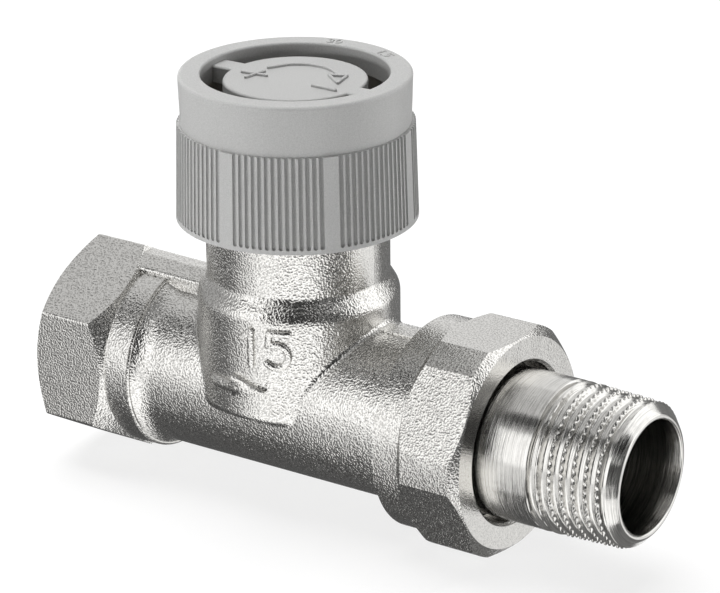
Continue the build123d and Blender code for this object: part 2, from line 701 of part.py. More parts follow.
# Spindle: guided stem with the clip's groove above and the stud for the disc below
with BuildPart() as spindle:
    revolve(
        outline(
            BONNET_SECTION,
            [
                (0, DISC_NUT_Z - SPINDLE_END),
                (SPINDLE_STUD_R, DISC_NUT_Z - SPINDLE_END),
                (SPINDLE_STUD_R, HOLDER_TOP_Z),
                (SPINDLE_R, HOLDER_TOP_Z),
                (SPINDLE_R, PLATE_TOP_Z),
                (CLIP_GROOVE_R, PLATE_TOP_Z),
                (CLIP_GROOVE_R, CLIP_TOP_Z),
                (SPINDLE_R, CLIP_TOP_Z),
                (SPINDLE_R, SPINDLE_TOP_Z),
                (0, SPINDLE_TOP_Z),
            ],
        ),
        axis=BONNET_AXIS,
    )
spindle.part.label = "spindle"
export_step(spindle.part, "parts/spindle.step")

# Pressure pin: stands on the spindle and reaches through the gland to the cap
with BuildPart() as pressure_pin:
    with BuildSketch(BONNET_SECTION):
        with BuildLine():
            Polyline(
                (0, PIN_TOP_Z),
                (0, SPINDLE_TOP_Z),
                (PIN_R, SPINDLE_TOP_Z),
                (PIN_R, PIN_TOP_Z - PIN_DOME),
            )
            TangentArc((0, PIN_TOP_Z), (PIN_R, PIN_TOP_Z - PIN_DOME), tangent=(1, 0))
        make_face()
    revolve(axis=BONNET_AXIS)
pressure_pin.part.label = "pressure_pin"
export_step(pressure_pin.part, "parts/pressure_pin.step")

# Disc holder: dished washer over the sealing disc
HOLDER_R = SEALING_DISC_R + DISC_HOLDER_WALL
with BuildPart() as disc_holder:
    revolve(
        outline(
            BONNET_SECTION,
            [
                (SPINDLE_STUD_R + RUNNING_GAP / 2, DISC_TOP_Z),
                (SEALING_DISC_R, DISC_TOP_Z),
                (SEALING_DISC_R, DISC_TOP_Z - DISC_HOLDER_RIM),
                (HOLDER_R, DISC_TOP_Z - DISC_HOLDER_RIM),
                (HOLDER_R, HOLDER_TOP_Z - DISC_HOLDER_WALL / 2),
                (HOLDER_R - DISC_HOLDER_WALL / 2, HOLDER_TOP_Z),
                (SPINDLE_STUD_R + RUNNING_GAP / 2, HOLDER_TOP_Z),
            ],
        ),
        axis=BONNET_AXIS,
    )
disc_holder.part.label = "disc_holder"
export_step(disc_holder.part, "parts/disc_holder.step")

# Sealing disc: soft disc that closes on the seat's lip
with BuildPart() as sealing_disc:
    with BuildSketch(bonnet_level(DISC_Z)):
        Circle(SEALING_DISC_R - RUNNING_GAP)
        Circle(SPINDLE_STUD_R + RUNNING_GAP / 2, mode=Mode.SUBTRACT)
    extrude(amount=SEALING_DISC_THICKNESS)
sealing_disc.part.label = "sealing_disc"
export_step(sealing_disc.part, "parts/sealing_disc.step")

# Washer and nut that clamp the disc on the spindle's stud
with BuildPart() as disc_washer:
    with BuildSketch(bonnet_level(WASHER_Z)):
        Circle(DISC_WASHER_R)
        Circle(SPINDLE_STUD_R + RUNNING_GAP / 2, mode=Mode.SUBTRACT)
    extrude(amount=DISC_WASHER_THICKNESS)
disc_washer.part.label = "disc_washer"
export_step(disc_washer.part, "parts/disc_washer.step")

with BuildPart() as disc_nut:
    with BuildSketch(bonnet_level(DISC_NUT_Z)):
        RegularPolygon(DISC_NUT_FLATS / 2, 6, major_radius=False)
        Circle(SPINDLE_STUD_R + RUNNING_GAP / 2, mode=Mode.SUBTRACT)
    extrude(amount=DISC_NUT_THICKNESS)
disc_nut.part.label = "disc_nut"
export_step(disc_nut.part, "parts/disc_nut.step")

# One groove of the cap's skirt, leaning with it, and open at the ledge above
GROOVE_PITCH = (360 / PAD_COUNT - PAD_ANGLE) / GROOVES_PER_PAD
SKIRT_LEAN = CAP_SKIRT_FLARE / (CAP_SKIRT_TOP_Z - CAP_SKIRT_BOTTOM_Z)
GROOVE_FOOT_Z = CAP_SKIRT_BOTTOM_Z + GROOVE_LIP + GROOVE_R
GROOVE_FOOT_R = CAP_SKIRT_BOTTOM_R - SKIRT_LEAN * (GROOVE_LIP + GROOVE_R) - GROOVE_DEPTH + GROOVE_R
with BuildPart() as rib_groove:
    with BuildSketch(Plane(origin=(GROOVE_FOOT_R, 0, GROOVE_FOOT_Z), z_dir=(-SKIRT_LEAN, 0, 1))):
        Circle(GROOVE_R)
    extrude(amount=CAP_SKIRT_TOP_Z + GROOVE_R - GROOVE_FOOT_Z)
    with Locations((GROOVE_FOOT_R, 0, GROOVE_FOOT_Z)):
        Sphere(GROOVE_R)

# Protective cap: ribbed skirt, smooth collar, and a disc held in the ring by two bridges
with BuildPart() as protective_cap:
    with BuildSketch(BONNET_SECTION):
        with BuildLine():
            Polyline(
                (0, CAP_TOP_Z),
                (0, CAP_SKIRT_BOTTOM_Z),
                (CAP_SKIRT_BOTTOM_R, CAP_SKIRT_BOTTOM_Z),
                (CAP_SKIRT_TOP_R, CAP_SKIRT_TOP_Z),
                (CAP_COLLAR_BOTTOM_R, CAP_SKIRT_TOP_Z),
                (CAP_COLLAR_TOP_R, CAP_TOP_Z - CAP_EDGE),
            )
            RadiusArc(
                (CAP_COLLAR_TOP_R, CAP_TOP_Z - CAP_EDGE),
                (CAP_COLLAR_TOP_R - CAP_EDGE, CAP_TOP_Z),
                -CAP_EDGE,
            )
            Line((CAP_COLLAR_TOP_R - CAP_EDGE, CAP_TOP_Z), (0, CAP_TOP_Z))
        make_face()
    revolve(axis=BONNET_AXIS)
    revolve(
        outline(
            BONNET_SECTION,
            [
                (0, CAP_SKIRT_BOTTOM_Z),
                (CAP_THREAD_R + CAP_BORE_CHAMFER, CAP_SKIRT_BOTTOM_Z),
                (CAP_THREAD_R, CAP_SKIRT_BOTTOM_Z + CAP_BORE_CHAMFER),
                (CAP_THREAD_R, CAP_THREAD_END_Z),
                (CAP_UPPER_BORE_R, CAP_THREAD_END_Z),
                (CAP_UPPER_BORE_R, CAP_CEILING_Z),
                (CAP_PRESS_R, CAP_CEILING_Z),
                (CAP_PRESS_R, PIN_TOP_Z + RUNNING_GAP),
                (0, PIN_TOP_Z + RUNNING_GAP),
            ],
        ),
        axis=BONNET_AXIS,
        mode=Mode.SUBTRACT,
    )
    with BuildSketch(BONNET_SECTION):
        with BuildLine():
            Polyline(
                (CAP_WELL_R + CAP_INNER_EDGE, CAP_TOP_Z),
                (0, CAP_TOP_Z),
                (0, CAP_DISC_Z),
                (CAP_WELL_R, CAP_DISC_Z),
                (CAP_WELL_R, CAP_TOP_Z - CAP_INNER_EDGE),
            )
            RadiusArc(
                (CAP_WELL_R, CAP_TOP_Z - CAP_INNER_EDGE),
                (CAP_WELL_R + CAP_INNER_EDGE, CAP_TOP_Z),
                CAP_INNER_EDGE,
            )
        make_face()
    revolve(axis=BONNET_AXIS, mode=Mode.SUBTRACT)
    with BuildSketch(bonnet_level(CAP_DISC_Z)):
        Circle(CAP_WELL_R)
        Circle(CAP_DISC_R, mode=Mode.SUBTRACT)
        Rectangle(2 * CAP_WELL_R, CAP_BRIDGE, mode=Mode.SUBTRACT)
    extrude(amount=CAP_CEILING_Z - CAP_DISC_Z, mode=Mode.SUBTRACT)
    fillet(
        edges(Select.LAST).filter_by_position(Axis.Z, CAP_DISC_Z, CAP_DISC_Z).filter_by(
            lambda rim: rim.geom_type == GeomType.LINE or rim.radius < CAP_WELL_R
        ),
        radius=CAP_INNER_EDGE,
    )

    # Grooves that leave the ribs standing between the smooth pads
    with Locations((BONNET_X, 0, 0)):
        with PolarLocations(0, PAD_COUNT, start_angle=PAD_FIRST_ANGLE + (PAD_ANGLE + GROOVE_PITCH) / 2):
            with PolarLocations(
                0,
                GROOVES_PER_PAD,
                angular_range=GROOVE_PITCH * (GROOVES_PER_PAD - 1),
                endpoint=True,
            ):
                add(rib_groove.part, mode=Mode.SUBTRACT)
protective_cap.part.label = "protective_cap"
export_step(protective_cap.part, "parts/protective_cap.step")
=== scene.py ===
import json
import math

import bpy
import numpy as np
from mathutils import Matrix, Vector

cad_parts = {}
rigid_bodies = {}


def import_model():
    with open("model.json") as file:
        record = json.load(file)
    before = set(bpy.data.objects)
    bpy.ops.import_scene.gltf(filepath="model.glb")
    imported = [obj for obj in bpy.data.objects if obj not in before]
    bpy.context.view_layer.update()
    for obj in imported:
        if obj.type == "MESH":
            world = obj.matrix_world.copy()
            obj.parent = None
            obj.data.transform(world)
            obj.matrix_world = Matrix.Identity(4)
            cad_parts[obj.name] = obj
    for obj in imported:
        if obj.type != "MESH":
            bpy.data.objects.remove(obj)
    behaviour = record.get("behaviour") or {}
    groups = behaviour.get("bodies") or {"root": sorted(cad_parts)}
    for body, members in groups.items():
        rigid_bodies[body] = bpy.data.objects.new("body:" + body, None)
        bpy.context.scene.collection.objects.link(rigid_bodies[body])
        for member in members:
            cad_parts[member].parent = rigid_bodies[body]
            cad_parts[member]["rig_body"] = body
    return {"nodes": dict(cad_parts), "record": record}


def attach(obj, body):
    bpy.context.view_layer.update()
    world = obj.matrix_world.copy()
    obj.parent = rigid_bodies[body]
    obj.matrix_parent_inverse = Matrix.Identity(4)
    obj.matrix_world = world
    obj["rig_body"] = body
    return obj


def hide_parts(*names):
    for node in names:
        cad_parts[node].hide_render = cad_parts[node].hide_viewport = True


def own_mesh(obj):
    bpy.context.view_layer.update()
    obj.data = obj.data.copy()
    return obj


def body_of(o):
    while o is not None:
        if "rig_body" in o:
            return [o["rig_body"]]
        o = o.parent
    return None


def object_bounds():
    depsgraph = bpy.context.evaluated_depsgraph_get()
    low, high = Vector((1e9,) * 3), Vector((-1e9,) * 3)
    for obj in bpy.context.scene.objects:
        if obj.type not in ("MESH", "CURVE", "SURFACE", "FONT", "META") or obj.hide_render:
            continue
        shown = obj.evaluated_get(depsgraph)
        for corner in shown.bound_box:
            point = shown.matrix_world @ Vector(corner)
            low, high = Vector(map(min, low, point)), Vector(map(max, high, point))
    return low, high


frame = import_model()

CAD_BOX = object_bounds()
NODES = frame["nodes"]
SLOT_OF = {row["node"]: row["material_slot"] for row in frame["record"]["subparts"]}

# Lengths are in metres. The pipe runs along X at Y = 0, Z = 0, and the bonnet stands up at BONNET_X.
BONNET_X = 0.0378
BOSS_R = 0.01414
MACHINED_BORE_R = 0.0099
CAP_DISC_Z = 0.0454
CAP_RIM_Z = 0.0464
THREAD_PITCH = 0.001814

# Camera: the photograph's view, as a place round a point on the pipe line
AZIMUTH = math.radians(35.1)
ELEVATION = math.radians(21.303)
ROLL = math.radians(-0.621)
DISTANCE = 0.496213
TARGET = Vector((0.048174, 0, 0.01566))
LENS = 180.25
SENSOR = 36.0

# Finishes: grains are counted in cells to the metre, and depths are in metres. A noise's values lie
# mostly in NOISE_RANGE.
NOISE_RANGE = (0.3, 0.7)
WAVE_GRAIN = 300.0
WAVE_DEPTH = 0.00005
FINE_GRAIN_RATIO = 2.1
FINE_DEPTH_RATIO = 0.22
# The grain's values across which its hollows are painted darker, as painted shade.
PAINTED_PIT_SHADE_RANGE = (0.36, 0.54)
END_FACE_RANGE = (0.93, 0.98)
BORE_FADE = 0.0001
EASED_MIDDLE = 0.6
RING_GRAIN = 120.0
SWELL_GRAIN = 60.0
SWELL_RATIO = 0.25
SWELL_DEPTH_RATIO = 0.8
STAIN_GRAIN = 700.0
STAIN_SHADE = 0.9
PLASTIC_GRAIN = 6500.0

# Tailpiece, from its nose inside the nut to its threaded end
TAIL_NOSE_X = 0.0636
TAIL_NOSE_R = 0.00864
TAIL_NOSE_EDGE = 0.0001
TAIL_CONE_X = 0.066
TAIL_CONE_R = 0.01078
TAIL_COLLAR_X = 0.06634
TAIL_COLLAR_END_X = 0.06989
TAIL_COLLAR_R = 0.01195
TAIL_SHANK_R = 0.01045
TAIL_SHANK_ROWS = (0.0715, 0.0816, 0.0015)
TAIL_EDGE = 0.0002
TAIL_CHAMFER_R = 0.0101
TAIL_CHAMFER_ROWS = (0.0943, 0.0946, 0.0949)
TAIL_END_X = 0.095
TAIL_END_R = 0.0086
TAIL_BORE_R = 0.00791
TAIL_BORE_ROWS = (0.092, 0.0639, -0.004)
TAIL_TURNS = 324

# Its taper thread R 1/2: the halves of crest and root are shares of the pitch
THREAD_START = 0.0817
THREAD_RUNOUT = 0.0004
THREAD_CREST_X = 0.0834
THREAD_FADE_X = 0.0935
THREAD_END = 0.0936
THREAD_GONE_X = 0.0939
THREAD_ROWS_END = 0.0940
THREAD_STEP = 0.00007
THREAD_DEPTH = 0.00085
TAPER = 1 / 32
CREST_R = 0.01050
CREST_HALF = 0.055
ROOT_HALF = 0.17
FLANK_POWER = 1.5

# The nicks in its crests, which hold the sealing hemp
NICK_COUNT = 54
NICK_DEPTH = 0.00034
NICK_SLANT = 0.0021
NICK_POWER = 1.6
NICK_HEIGHT_RANGE = (0.55, 0.95)
NICKS_START = 0.0840
NICKS_FULL = 0.0856

# Inlet: the turns of its female thread, as a ridge that stands a little into the plain bore
INLET_BORE_R = 0.0093155
INLET_RIDGE = 0.00034
INLET_RIDGE_X = 0.0009
INLET_RIDGE_FOOT = 0.00062
INLET_RIDGE_TOP = 0.00016
INLET_RIDGE_SUNK = 0.0002
INLET_TURNS = 6.2
INLET_STEPS = 110
INLET_RUNOUT_STEPS = INLET_STEPS / 3

# Raised signs: the cap's marks, the flow arrow and the size numbers. Flatness 1 is a round section.
SIGN_SUNK = 0.00012
SIGN_SECTION = [math.radians(a) for a in (-90, -72, -50, -25, 0, 25, 50, 72, 90)]
SIGN_END = [math.radians(a) for a in (80, 55, 30)]
MARK_HALF = 0.00022
MARK_HEIGHT = 0.00034
MARK_FLATNESS = 0.4
ARC_R = 0.0057
ARC_TURNS = range(150, 40, -4)
FLOW_SHAFT = [(-0.0052, 0.00460, 0.00074), (-0.0040, 0.00462, 0.00078), (-0.0024, 0.00466, 0.00078)]
FLOW_HEAD = [(-0.00088, 0.00470, 0.00078), (-0.0008, 0.00470, 0.00195), (0.0010, 0.00476, 0.00132)]
FLOW_TIP = [(0.0028, 0.00484, 0.00050), (0.0040, 0.00489, 0.00012), (0.0042, 0.00490, 0.00003)]
FLOW_HEIGHT = 0.00090
FLOW_FLATNESS = 0.35
NUMBER_FLATNESS = 0.45
BOSS_NUMBER_START = 0.0004
BOSS_NUMBER_BASE = 0.0084
BOSS_NUMBER_SIZE = 0.0050
BOSS_NUMBER_HALF = 0.00050
BOSS_NUMBER_RISE = 0.00050
RING_NUMBER_R = 0.0143
RING_NUMBER_BASE = -0.00070
RING_NUMBER_SIZE = 0.0014
RING_NUMBER_HALF = 0.00013
RING_NUMBER_RISE = 0.00012

# Studio: a pale floor under a plain world
FLOOR_Z = CAD_BOX[0].z - 0.0002
FLOOR_HALF = 1.6
FLOOR_LEVEL = 0.92
FLOOR_GLOW = 0.72
FLOOR_GLOW_STRENGTH = 1.05
FLOOR_NEAR = 0.2
FLOOR_FAR = 0.5
WORLD_LEVEL = 0.17

# Cards: name, azimuth from the camera's, elevation, width and height in degrees, distance and glow
CARDS = (
    ("card_front", -3, 21, 62, 56, 1.0, 0.05),
    ("card_front_right", 45, -4, 38, 38, 1.02, 0.10),
    ("card_front_above", 15, 57, 62, 20, 1.04, 0.20),
    ("card_front_far_right", 50, 28, 32, 24, 1.0, 0.03),
    ("card_top", 0, 82, 170, 34, 1.1, 0.24),
    ("box_left", -56, 16, 32, 44, 1.1, 1.42),
    ("card_left_high", -95, 47, 52, 20, 1.03, 0.04),
    ("box_right", 96, 16, 56, 56, 1.1, 1.42),
    ("box_low", -8, -45, 90, 54, 1.15, 1.40),
    ("card_left_back", -118, 18, 66, 60, 1.1, 0.4),
    ("card_left_low", -85, -26, 30, 30, 1.05, 0.2),
    ("card_low_left", -130, -45, 100, 58, 1.0, 0.10),
    ("card_right_back", 146, -6, 60, 42, 1.1, 0.2),
    ("card_low_right", 106, -55, 96, 45, 1.0, 0.18),
    ("card_back", 180, 28, 60, 40, 1.1, 0.85),
    ("card_top_left", -135, 58, 84, 40, 0.98, 0.66),
)

# Lamps: name, azimuth from the camera's, elevation, distance, width, height and power in watts
LAMPS = (
    ("lamp_left", -58, 4, 0.9, 0.3, 0.16, 4.8),
    ("lamp_right", 80, 4, 0.9, 0.35, 0.16, 3.9),
    ("lamp_above", -150, 70, 0.9, 0.9, 0.9, 12.0),
)


def away(azimuth, elevation):
    """The unit direction from the target at this azimuth (0 is towards -Y, 90 towards +X) and elevation."""
    return Vector(
        (
            math.sin(azimuth) * math.cos(elevation),
            -math.cos(azimuth) * math.cos(elevation),
            math.sin(elevation),
        )
    )


def make_camera():
    """The camera stands round the target by azimuth and elevation, turned a little about its own axis."""
    back = away(AZIMUTH, ELEVATION)
    level = Vector((math.cos(AZIMUTH), math.sin(AZIMUTH), 0))
    upright = back.cross(level)
    right = level * math.cos(ROLL) + upright * math.sin(ROLL)
    up = upright * math.cos(ROLL) - level * math.sin(ROLL)
    data = bpy.data.cameras.new("photo_camera")
    data.lens = LENS
    data.sensor_width = SENSOR
    data.clip_start = 0.01
    data.clip_end = 20
    camera = bpy.data.objects.new("photo_camera", data)
    camera.matrix_world = Matrix.Translation(TARGET + back * DISTANCE) @ Matrix(
        (right, up, back)
    ).transposed().to_4x4()
    bpy.context.scene.collection.objects.link(camera)
    bpy.context.scene.camera = camera


# Material helpers: each adds nodes to a tree and returns the socket that carries its result


def new_material(name):
    """An empty node material: its tree, its shader and the object's own coordinates in metres."""
    material = bpy.data.materials.new(name)
    material.use_nodes = True
    tree = material.node_tree
    shader = tree.nodes["Principled BSDF"]
    place = tree.nodes.new("ShaderNodeTexCoord").outputs["Object"]
    return material, tree, shader, place


def scaled(tree, place, scale):
    """The coordinates stretched by a factor along each axis."""
    node = tree.nodes.new("ShaderNodeVectorMath")
    node.operation = "MULTIPLY"
    node.inputs[1].default_value = scale
    tree.links.new(place, node.inputs[0])
    return node.outputs["Vector"]


def noise(tree, place, scale, detail=2.0, roughness=0.5):
    """A noise value from 0 to 1, about scale cells to the metre."""
    node = tree.nodes.new("ShaderNodeTexNoise")
    node.inputs["Scale"].default_value = scale
    node.inputs["Detail"].default_value = detail
    node.inputs["Roughness"].default_value = roughness
    tree.links.new(place, node.inputs["Vector"])
    return node.outputs["Fac"]


def spread(tree, value, low, high, to_low, to_high):
    """The value's stretch from low to high carried over to another range, and held at its ends."""
    node = tree.nodes.new("ShaderNodeMapRange")
    for socket, number in zip(("From Min", "From Max", "To Min", "To Max"), (low, high, to_low, to_high)):
        node.inputs[socket].default_value = number
    tree.links.new(value, node.inputs["Value"])
    return node.outputs["Result"]


def mixed(tree, factor, first, second):
    """A colour between two colours, each given by its numbers or by a socket."""
    node = tree.nodes.new("ShaderNodeMix")
    node.data_type = "RGBA"
    tree.links.new(factor, node.inputs["Factor"])
    for socket, colour in ((node.inputs[6], first), (node.inputs[7], second)):
        if isinstance(colour, tuple):
            socket.default_value = (*colour, 1)
        else:
            tree.links.new(colour, socket)
    return node.outputs[2]


def scaled_colour(colour, factor):
    """The colour made darker or lighter by a factor."""
    return tuple(channel * factor for channel in colour)


def bump(tree, height, depth, under=None):
    """A bump of that depth in metres, on top of another bump if one is given."""
    node = tree.nodes.new("ShaderNodeBump")
    node.inputs["Strength"].default_value = 1.0
    node.inputs["Distance"].default_value = depth
    tree.links.new(height, node.inputs["Height"])
    if under is not None:
        tree.links.new(under, node.inputs["Normal"])
    return node.outputs["Normal"]


def larger(tree, first, second):
    """The larger of two values."""
    node = tree.nodes.new("ShaderNodeMath")
    node.operation = "MAXIMUM"
    tree.links.new(first, node.inputs[0])
    tree.links.new(second, node.inputs[1])
    return node.outputs[0]


def reach(tree, place, scale):
    """The distance from the origin, along the axes that the scale keeps."""
    node = tree.nodes.new("ShaderNodeVectorMath")
    node.operation = "LENGTH"
    tree.links.new(scaled(tree, place, scale), node.inputs[0])
    return node.outputs["Value"]


def end_share(tree):
    """1 on faces that look along the pipe line, which are machined, and 0 on the others."""
    split = tree.nodes.new("ShaderNodeSeparateXYZ")
    faces = tree.nodes.new("ShaderNodeNewGeometry")
    tree.links.new(faces.outputs["Normal"], split.inputs[0])
    size = tree.nodes.new("ShaderNodeMath")
    size.operation = "ABSOLUTE"
    tree.links.new(split.outputs["X"], size.inputs[0])
    return spread(tree, size.outputs[0], *END_FACE_RANGE, 0, 1)


def bore_share(tree, place):
    """1 inside the bores along the pipe line, which are machined too, and 0 outside them."""
    radius = reach(tree, place, (0, 1, 1))
    return spread(tree, radius, MACHINED_BORE_R, MACHINED_BORE_R + BORE_FADE, 1, 0)


def eased(tree, value, share, rest):
    """The value drawn towards its upper middle where share is 1, so that only rest of its swing is left."""
    node = tree.nodes.new("ShaderNodeMix")
    calm = spread(tree, value, 0, 1, EASED_MIDDLE - rest / 2, EASED_MIDDLE + rest / 2)
    tree.links.new(share, node.inputs["Factor"])
    tree.links.new(value, node.inputs["A"])
    tree.links.new(calm, node.inputs["B"])
    return node.outputs["Result"]


def blasted_metal(name, painted_shade, light, grain, depth, gloss, machined):
    """Nickel plate over a blasted surface: round grains that each catch or lose the light, over soft waves.
    The grains' hollows are painted darker than their tops: painted shade.

    On machined faces and in machined bores only the share given by machined is left of the grains.
    """
    material, tree, shader, place = new_material(name)
    grains = noise(tree, place, grain, 0.0)
    fine = noise(tree, place, grain * FINE_GRAIN_RATIO, 0.0)
    waves = noise(tree, place, WAVE_GRAIN)
    calm = larger(tree, end_share(tree), bore_share(tree, place))
    # Painted shade: the grains' hollows take the darker colour.
    painted_pit_shade = eased(tree, spread(tree, grains, *PAINTED_PIT_SHADE_RANGE, 0, 1), calm, machined)
    grains = eased(tree, grains, calm, machined)
    normal = bump(tree, waves, WAVE_DEPTH)
    normal = bump(tree, grains, depth, normal)
    normal = bump(tree, fine, depth * FINE_DEPTH_RATIO, normal)
    tree.links.new(normal, shader.inputs["Normal"])
    tree.links.new(mixed(tree, painted_pit_shade, painted_shade, light), shader.inputs["Base Color"])
    roughness = spread(tree, fine, *NOISE_RANGE, gloss - 0.04, gloss + 0.05)
    tree.links.new(roughness, shader.inputs["Roughness"])
    shader.inputs["Metallic"].default_value = 1.0
    return material


def turned_metal(name, painted_shade, light, lines, depth, gloss, axis):
    """Bright turned metal: fine and coarse rings round one axis from the lathe's tool, with soft stains. The
    fine rings' grooves are painted darker than their tops, as painted shade.
    """
    material, tree, shader, place = new_material(name)
    fine_way = [RING_GRAIN] * 3
    fine_way["XYZ".index(axis)] = lines
    coarse_way = [SWELL_GRAIN] * 3
    coarse_way["XYZ".index(axis)] = lines * SWELL_RATIO
    rings = noise(tree, scaled(tree, place, fine_way), 1.0, 2.0, 0.6)
    swells = noise(tree, scaled(tree, place, coarse_way), 1.0)
    stains = noise(tree, place, STAIN_GRAIN, 3.0)
    stain_share = spread(tree, stains, 0.3, 0.45, 0, 1)
    stained = mixed(tree, stain_share, scaled_colour(light, STAIN_SHADE), light)
    normal = bump(tree, swells, depth * SWELL_DEPTH_RATIO)
    normal = bump(tree, rings, depth, normal)
    tree.links.new(normal, shader.inputs["Normal"])
    # Painted shade: the grooves between the fine rings take the darker colour.
    ring_top_light_groove_shade = spread(tree, rings, 0.3, 0.5, 0, 1)
    tree.links.new(mixed(tree, ring_top_light_groove_shade, painted_shade, stained), shader.inputs["Base Color"])
    roughness = spread(tree, rings, *NOISE_RANGE, gloss - 0.06, gloss + 0.10)
    tree.links.new(roughness, shader.inputs["Roughness"])
    shader.inputs["Metallic"].default_value = 1.0
    return material


def moulded_plastic(name, painted_shade, light, gloss, depth):
    """Satin moulded plastic with a spark-eroded grain, the grain's hollows painted darker than its peaks:
    painted shade.
    """
    material, tree, shader, place = new_material(name)
    grain = noise(tree, place, PLASTIC_GRAIN)
    tree.links.new(bump(tree, grain, depth), shader.inputs["Normal"])
    # Painted shade: the grain's hollows take the darker colour.
    tip_light_pit_shade = spread(tree, grain, *NOISE_RANGE, 0, 1)
    tree.links.new(mixed(tree, tip_light_pit_shade, painted_shade, light), shader.inputs["Base Color"])
    roughness = spread(tree, grain, *NOISE_RANGE, gloss + 0.05, gloss - 0.04)
    tree.links.new(roughness, shader.inputs["Roughness"])
    shader.inputs["Specular IOR Level"].default_value = 0.4
    return material


def make_finishes():
    """The record's material slots by name, each with its node material."""
    # Each finish's darker colour is the painted shade in its grain's hollows or its rings' grooves.
    looks = {
        "blasted_nickel": (
            blasted_metal,
            {
                "painted_shade": (0.57, 0.56, 0.54),
                "light": (0.80, 0.79, 0.765),
                "grain": 3700.0,
                "depth": 0.000076,
                "gloss": 0.14,
                "machined": 0.3,
            },
        ),
        "nut_nickel": (
            blasted_metal,
            {
                "painted_shade": (0.55, 0.54, 0.52),
                "light": (0.77, 0.76, 0.735),
                "grain": 4000.0,
                "depth": 0.000064,
                "gloss": 0.16,
                "machined": 0.35,
            },
        ),
        "turned_nickel": (
            turned_metal,
            {
                "painted_shade": (0.50, 0.49, 0.47),
                "light": (0.76, 0.75, 0.725),
                "lines": 9000.0,
                "depth": 0.000028,
                "gloss": 0.12,
                "axis": "X",
            },
        ),
        "bare_brass": (
            turned_metal,
            {
                "painted_shade": (0.66, 0.48, 0.21),
                "light": (0.80, 0.62, 0.32),
                "lines": 4200.0,
                "depth": 0.00002,
                "gloss": 0.26,
                "axis": "Z",
            },
        ),
        "stainless_steel": (
            turned_metal,
            {
                "painted_shade": (0.50, 0.50, 0.51),
                "light": (0.66, 0.66, 0.67),
                "lines": 5000.0,
                "depth": 0.00002,
                "gloss": 0.25,
                "axis": "Z",
            },
        ),
        "seal_rubber": (
            moulded_plastic,
            {"painted_shade": (0.02, 0.02, 0.02), "light": (0.035, 0.035, 0.035), "gloss": 0.5, "depth": 0.00001},
        ),
        "white_plastic": (
            moulded_plastic,
            {"painted_shade": (0.76, 0.76, 0.74), "light": (0.85, 0.85, 0.83), "gloss": 0.45, "depth": 0.00001},
        ),
        "cap_plastic": (
            moulded_plastic,
            {"painted_shade": (0.35, 0.35, 0.345), "light": (0.43, 0.43, 0.425), "gloss": 0.38, "depth": 0.000012},
        ),
    }
    return {name: make(name, **look) for name, (make, look) in looks.items()}


# Meshes


def put_on(name, verts, faces, like, sharp):
    """A smooth mesh piece with the finish of a CAD node, riding on that node's body."""
    mesh = bpy.data.meshes.new(name)
    mesh.from_pydata([tuple(v) for v in verts], [], faces)
    mesh.validate()
    mesh.update()
    piece = bpy.data.objects.new(name, mesh)
    bpy.context.scene.collection.objects.link(piece)
    mesh.shade_smooth()
    mesh.set_sharp_from_angle(angle=math.radians(sharp))
    mesh.materials.append(FINISHES[SLOT_OF[like]])
    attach(piece, body_of(NODES[like])[0])
    return piece


def tube_faces(rows, around, loop_closed=False):
    """Faces between rows of points, each row a closed ring; the last row meets the first if asked."""
    faces = []
    for i in range(rows if loop_closed else rows - 1):
        here = i * around
        there = (i + 1) % rows * around
        for j in range(around):
            k = (j + 1) % around
            faces.append((here + j, here + k, there + k, there + j))
    return faces


def smooth_step(value, low, high):
    """0 below low, 1 above high and a smooth rise between."""
    t = np.clip((value - low) / (high - low), 0, 1)
    return t * t * (3 - 2 * t)


def thread_radius(x, turn):
    """The tailpiece's outside radius where it is threaded, at x and at the angles turn."""
    crest = CREST_R - (x - THREAD_CREST_X) * TAPER
    phase = (x - THREAD_CREST_X) / THREAD_PITCH - turn / (2 * math.pi)
    off = np.abs((phase + 0.5) % 1 - 0.5)
    slope = np.clip((off - CREST_HALF) / (0.5 - CREST_HALF - ROOT_HALF), 0, 1)
    height = (1 - slope) ** FLANK_POWER
    begun = smooth_step(x, THREAD_START, THREAD_START + THREAD_RUNOUT)
    present = begun * (1 - smooth_step(x, THREAD_FADE_X, THREAD_GONE_X))
    nicks = (0.5 + 0.5 * np.cos(NICK_COUNT * turn + 2 * math.pi * x / NICK_SLANT)) ** NICK_POWER
    nicked = smooth_step(height, *NICK_HEIGHT_RANGE) * smooth_step(x, NICKS_START, NICKS_FULL) * present
    radius = crest - THREAD_DEPTH * (1 - height) * present - NICK_DEPTH * nicks * nicked
    chamfer = TAIL_CHAMFER_R - (x - THREAD_END) * (TAIL_CHAMFER_R - TAIL_END_R) / (TAIL_END_X - THREAD_END)
    return np.minimum(np.minimum(radius, TAIL_SHANK_R), chamfer)


